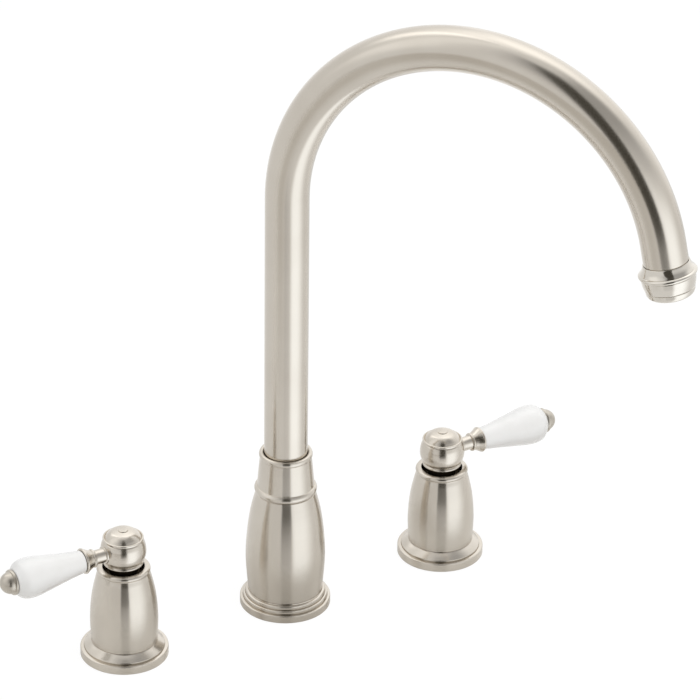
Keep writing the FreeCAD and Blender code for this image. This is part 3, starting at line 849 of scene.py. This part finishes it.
# Pale table, in metres; away from the tap it lets the metal see the room's light below the horizon
table = {
    "size": 6.0,
    "tone": (0.76, 0.75, 0.73),
    "mirroredTone": (0.9, 0.89, 0.87),
    "mirroredShade": (0.7, 0.68, 0.65),
    "glow": 1.08,
    "glowShare": 0.85,
    "sheen": 0.2,
    "sheenTone": (0.95, 0.95, 0.95, 1),
    "sheenRoughness": 0.12,
    "stripEdge": (0.045, 0.085),
    "shadeEdge": (0.03, 0.1),
    "veilTone": (0.75, 0.73, 0.69),
    "veilSide": (-0.35, 0.05),
    "veilFront": (0.0, 0.32),
    "veilLean": 0.5,
}


def makeFloor():
    t = table
    bpy.ops.object.select_all(action="DESELECT")
    bpy.ops.mesh.primitive_plane_add(size=t["size"])
    floor = bpy.context.object
    floor.name = "floor"
    material, tree, start = bareMaterial("paleFloor")
    place = start.node("ShaderNodeTexCoord", {}, {}, "Object")
    away = start.maths("ABSOLUTE", place.dot((0, 1, 0))).between(*t["stripEdge"])
    reach = start.node("ShaderNodeVectorMath", {"operation": "LENGTH"}, {0: place}, "Value")
    clearOfFoot = reach.between(*t["shadeEdge"])
    seen = start.node("ShaderNodeLightPath", {}, {}, "Is Camera Ray")
    glossy = start.node("ShaderNodeLightPath", {}, {}, "Is Glossy Ray")
    mirrored = clearOfFoot.mixed(t["mirroredShade"], t["mirroredTone"])
    matt = start.node("ShaderNodeBsdfDiffuse", {}, {"Color": glossy.mixed(t["tone"], mirrored)})
    glow = start.node("ShaderNodeEmission", {}, {"Color": (1, 1, 1, 1), "Strength": t["glow"]})
    across = place.dot(level)
    leftSide = 1 - across.between(*t["veilSide"])
    veil = (place.dot(frontDirection) + across * t["veilLean"]).between(*t["veilFront"]) * leftSide
    clear = start.node("ShaderNodeBsdfTransparent", {}, {"Color": veil.mixed((1, 1, 1), t["veilTone"])})
    gloss = {"Color": t["sheenTone"], "Roughness": t["sheenRoughness"]}
    sheen = start.node("ShaderNodeBsdfGlossy", {}, gloss)
    surface = start.node("ShaderNodeMixShader", {}, {0: glossy * t["sheen"], 1: matt, 2: sheen})
    shown = start.node("ShaderNodeMixShader", {}, {0: seen * t["glowShare"], 1: surface, 2: glow})
    both = start.node("ShaderNodeMixShader", {}, {0: glossy * away * clearOfFoot, 1: shown, 2: clear})
    out = tree.nodes.new("ShaderNodeOutputMaterial")
    tree.links.new(both.socket, out.inputs["Surface"])
    floor.data.materials.append(material)


makeFloor()

# Dark upright card in front, which only the metal sees: (ahead, across) of its ends, in metres
card = {
    "left": (1.3, -0.26),
    "right": (6.0, 2.15),
    "heights": (-4.0, 19.0),
    "faint": (-0.62, -0.37),
    "faintShare": 0.15,
    "fade": (-0.29, -0.14),
    "top": (1.4, 3.0),
    "tone": (1, 0.93, 0.78, 1),
    "strength": 0.07,
}


def makeCard():
    c = card
    low, high = c["heights"]
    near = frontDirection * c["left"][0] + level * c["left"][1]
    far = frontDirection * c["right"][0] + level * c["right"][1]
    rising = up * (high - low)
    middle = (near + far) / 2 + up * ((low + high) / 2)
    sides = Matrix((far - near, rising, (far - near).cross(rising).normalized())).transposed().to_4x4()
    bpy.ops.object.select_all(action="DESELECT")
    bpy.ops.mesh.primitive_plane_add(size=1)
    piece = bpy.context.object
    piece.name = "darkCard"
    piece.matrix_world = Matrix.Translation(middle) @ sides
    bpy.ops.object.transform_apply(location=True, rotation=True, scale=True)
    piece.visible_camera = False
    piece.visible_diffuse = False
    piece.visible_shadow = False
    material, tree, start = bareMaterial("darkCard")
    place = start.node("ShaderNodeTexCoord", {}, {}, "Object")
    climb = place.dot((0, 0, 1)) / place.dot(frontDirection)
    cover = climb.between(*c["faint"]) * c["faintShare"] + climb.between(*c["fade"]) * (1 - c["faintShare"])
    cover = cover * (1 - climb.between(*c["top"]))
    dark = start.node("ShaderNodeEmission", {}, {"Color": c["tone"], "Strength": c["strength"]})
    clear = start.node("ShaderNodeBsdfTransparent", {}, {})
    both = start.node("ShaderNodeMixShader", {}, {0: cover, 1: clear, 2: dark})
    out = tree.nodes.new("ShaderNodeOutputMaterial")
    tree.links.new(both.socket, out.inputs["Surface"])
    piece.data.materials.append(material)


makeCard()

# Light of the room as the metal mirrors it: bearings from the camera and heights, in degrees
room = {
    "fill": 0.56,
    "base": 0.88,
    "window": {"gain": 0.66, "starts": (12, 32), "ends": (54, 102), "under": (-8, 22)},
    "windowTint": (0.95, 0.985, 1.02),
    "dusk": {"gain": -0.42, "starts": (-48, -20), "ends": (75, 112), "over": (4, 48), "under": (62, 76)},
    "rearRight": {"gain": 0.33, "starts": (92, 150), "over": (-22, 0)},
    "rearLeft": {"gain": 0.18, "ends": (-172, -128)},
    "strip": {"gain": 0.6, "starts": (-148, -136), "ends": (-126, -114), "over": (24, 38)},
    "leftSky": {"gain": 0.28, "starts": (-105, -90), "ends": (-72, -45), "over": (4, 26)},
    "overhead": {"gain": 0.5, "over": (20, 65), "behind": (-0.4, -0.02)},
}


def makeWorld():
    world = bpy.data.worlds.new("studio")
    world.use_nodes = True
    tree = world.node_tree
    tree.nodes.clear()
    start = Wire(tree)
    way = start.node("ShaderNodeTexCoord", {}, {}, "Generated")
    ahead = way.dot(frontDirection)
    bearing = start.maths("ARCTAN2", way.dot(level), ahead) * (180 / math.pi)
    climb = start.maths("ARCSINE", way.dot(up)) * (180 / math.pi)

    def area(name):  # 1 inside a patch of the room, 0 outside it
        patch = room[name]
        share = 1.0
        for key, along, rising in (
            ("starts", bearing, True),
            ("ends", bearing, False),
            ("over", climb, True),
            ("under", climb, False),
            ("behind", ahead, False),
        ):
            if key in patch:
                edge = along.between(*patch[key])
                share = share * (edge if rising else 1 - edge)
        return share

    window = area("window")
    glow = room["base"] + window * room["window"]["gain"]
    for name in ("dusk", "rearRight", "rearLeft", "overhead", "strip", "leftSky"):
        glow = glow + area(name) * room[name]["gain"]
    seen = start.node("ShaderNodeLightPath", {}, {}, "Is Camera Ray")
    through = start.node("ShaderNodeLightPath", {}, {}, "Is Transmission Ray")
    glossy = start.node("ShaderNodeLightPath", {}, {}, "Is Glossy Ray")
    shown = start.maths("MAXIMUM", seen, through)
    strength = shown + (1 - shown) * (glossy * glow + (1 - glossy) * room["fill"])
    tint = (glossy * window).mixed((1, 1, 1), room["windowTint"])
    light = start.node("ShaderNodeBackground", {}, {"Color": tint, "Strength": strength})
    out = tree.nodes.new("ShaderNodeOutputWorld")
    tree.links.new(light.socket, out.inputs["Surface"])
    scene.world = world


makeWorld()

# Soft lamps, in metres and watts
lampAim = Vector((0.04, 0, 0.12))
lamps = {
    "overhead": {"place": (0.3, -0.5, 1.9), "size": 1.6, "power": 18.0},
    "front": {"place": (-1.2, -1.8, 1.5), "size": 1.2, "power": 8.0},
}


def makeLamps():
    for name, lamp in lamps.items():
        bpy.ops.object.select_all(action="DESELECT")
        bpy.ops.object.light_add(type="AREA", location=lamp["place"])
        light = bpy.context.object
        light.name = name
        light.data.size = lamp["size"]
        light.data.energy = lamp["power"]
        aim = lampAim - Vector(lamp["place"])
        light.rotation_euler = aim.to_track_quat("-Z", "Y").to_euler()
        light.visible_glossy = False


makeLamps()
print("studio ready")
